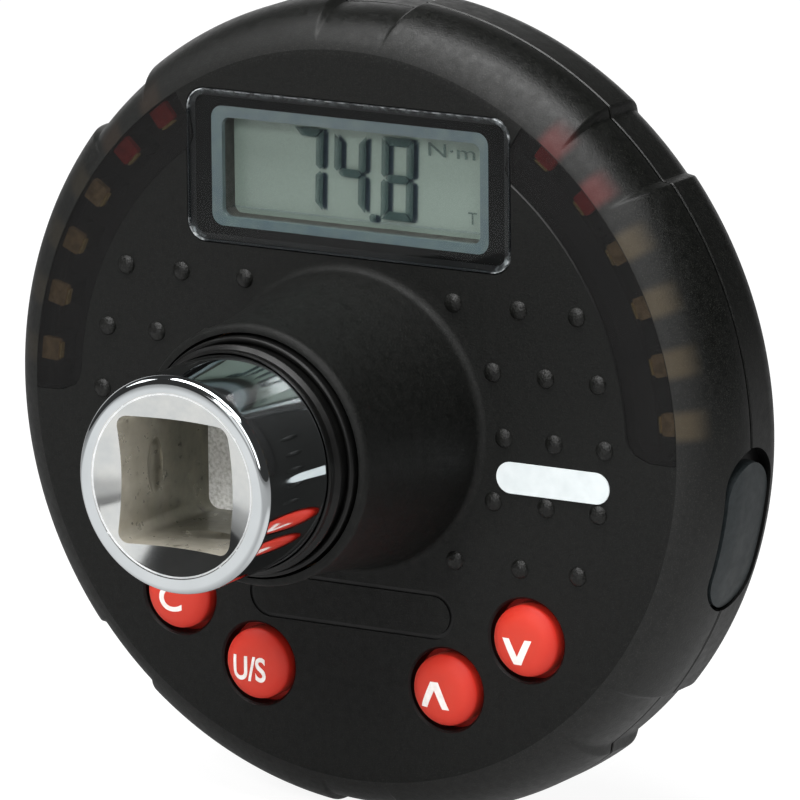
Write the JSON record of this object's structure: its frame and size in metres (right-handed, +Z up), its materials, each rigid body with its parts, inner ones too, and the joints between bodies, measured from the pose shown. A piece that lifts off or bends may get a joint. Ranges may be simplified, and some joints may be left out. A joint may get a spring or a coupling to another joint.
{
  "type": "torque angle gauge",
  "caption": "Digital torque and angle gauge for a square drive: round smoked-black body with display, light bars and red buttons, chrome drive socket in front and drive square behind.",
  "frame": {"origin": "centre of the end face of the drive square, on the drive axis", "axes": "+Z up, from the drive axis to the display; +Y along the drive axis, out of the drive square; the display, buttons and drive socket look along -Y; +X to the right of a person reading the display"},
  "size_m": [0.084, 0.0668, 0.0834],
  "materials": {
    "smoked_black_shell": "spark-textured satin black moulding",
    "black_plastic": "satin black moulding",
    "black_rubber": "matte black rubber",
    "red_silicone": "matte red-orange silicone",
    "polished_chrome": "polished chrome plate",
    "bright_steel": "bright steel",
    "gold_plated_contact": "gold-plated spring contact",
    "sintered_bronze": "sintered bronze",
    "clear_acrylic": "polished clear acrylic",
    "display_grey": "grey-green display glass",
    "circuit_board_green": "green solder mask",
    "amber_flex_film": "amber polyimide film",
    "red_light_lens": "red light window",
    "amber_light_lens": "pale amber light window",
    "grey_soft_plug": "satin grey soft plug",
    "white_label_film": "white film"
  },
  "bodies": {
    "gauge": {"blank_label": "white_label_film", "buzzer": "black_plastic", "case_screw_1": "bright_steel", "case_screw_2": "bright_steel", "case_screw_3": "bright_steel", "case_screw_4": "bright_steel", "cell_contact_left": "gold_plated_contact", "cell_contact_right": "gold_plated_contact", "cell_left": "bright_steel", "cell_right": "bright_steel", "data_port": "bright_steel", "detent_spring": "bright_steel", "display_cell": "display_grey", "display_holder": "black_plastic", "display_window": "clear_acrylic", "drive_shaft": "polished_chrome", "front_bush": "sintered_bronze", "front_housing": "smoked_black_shell", "front_seal": "black_rubber", "gauge_flex": "amber_flex_film", "left_light_1": "amber_light_lens", "left_light_2": "amber_light_lens", "left_light_3": "amber_light_lens", "left_light_4": "amber_light_lens", "left_light_5": "red_light_lens", "left_light_6": "red_light_lens", "left_light_bar": "black_plastic", "main_board": "circuit_board_green", "rear_bush": "sintered_bronze", "rear_housing": "smoked_black_shell", "rear_seal": "black_rubber", "retaining_ring": "bright_steel", "right_light_1": "amber_light_lens", "right_light_2": "amber_light_lens", "right_light_3": "amber_light_lens", "right_light_4": "amber_light_lens", "right_light_5": "red_light_lens", "right_light_6": "red_light_lens", "right_light_bar": "black_plastic", "rotation_sensor": "black_plastic", "strain_gauge": "amber_flex_film", "switch_clear": "black_plastic", "switch_down": "black_plastic", "switch_unit": "black_plastic", "switch_up": "black_plastic"},
    "clear_button": {"button_clear": "red_silicone"},
    "unit_button": {"button_unit": "red_silicone"},
    "up_button": {"button_up": "red_silicone"},
    "down_button": {"button_down": "red_silicone"},
    "ball": {"detent_ball": "bright_steel"},
    "left_cover": {"battery_cover_left": "black_plastic", "cover_seal_left": "black_rubber"},
    "right_cover": {"battery_cover_right": "black_plastic", "cover_seal_right": "black_rubber"},
    "port_plug": {"rim_plug": "grey_soft_plug"}
  },
  "joints": [
    {"name": "clear_press", "type": "slide", "parent": "gauge", "child": "clear_button", "axis": [0, 1, 0], "range_m": [0, 0.0006], "stiffness_N_per_m": 500},
    {"name": "unit_press", "type": "slide", "parent": "gauge", "child": "unit_button", "axis": [0, 1, 0], "range_m": [0, 0.0006], "stiffness_N_per_m": 500},
    {"name": "up_press", "type": "slide", "parent": "gauge", "child": "up_button", "axis": [0, 1, 0], "range_m": [0, 0.0006], "stiffness_N_per_m": 500},
    {"name": "down_press", "type": "slide", "parent": "gauge", "child": "down_button", "axis": [0, 1, 0], "range_m": [0, 0.0006], "stiffness_N_per_m": 500},
    {"name": "ball_press", "type": "slide", "parent": "gauge", "child": "ball", "axis": [0, 0, -1], "range_m": [0, 0.001], "stiffness_N_per_m": 1000, "deforming": ["detent_spring"]},
    {"name": "left_cover_turn", "type": "hinge", "parent": "gauge", "child": "left_cover", "pos_m": [-0.02182, -0.0184, 0.0126], "axis": [0, 1, 0], "range_deg": [0, 35]},
    {"name": "right_cover_turn", "type": "hinge", "parent": "gauge", "child": "right_cover", "pos_m": [0.02182, -0.0184, 0.0126], "axis": [0, 1, 0], "range_deg": [0, 35]},
    {"name": "plug_pull", "type": "slide", "parent": "gauge", "child": "port_plug", "axis": [0.9763, 0, -0.2164], "range_m": [0, 0.005]}
  ]
}
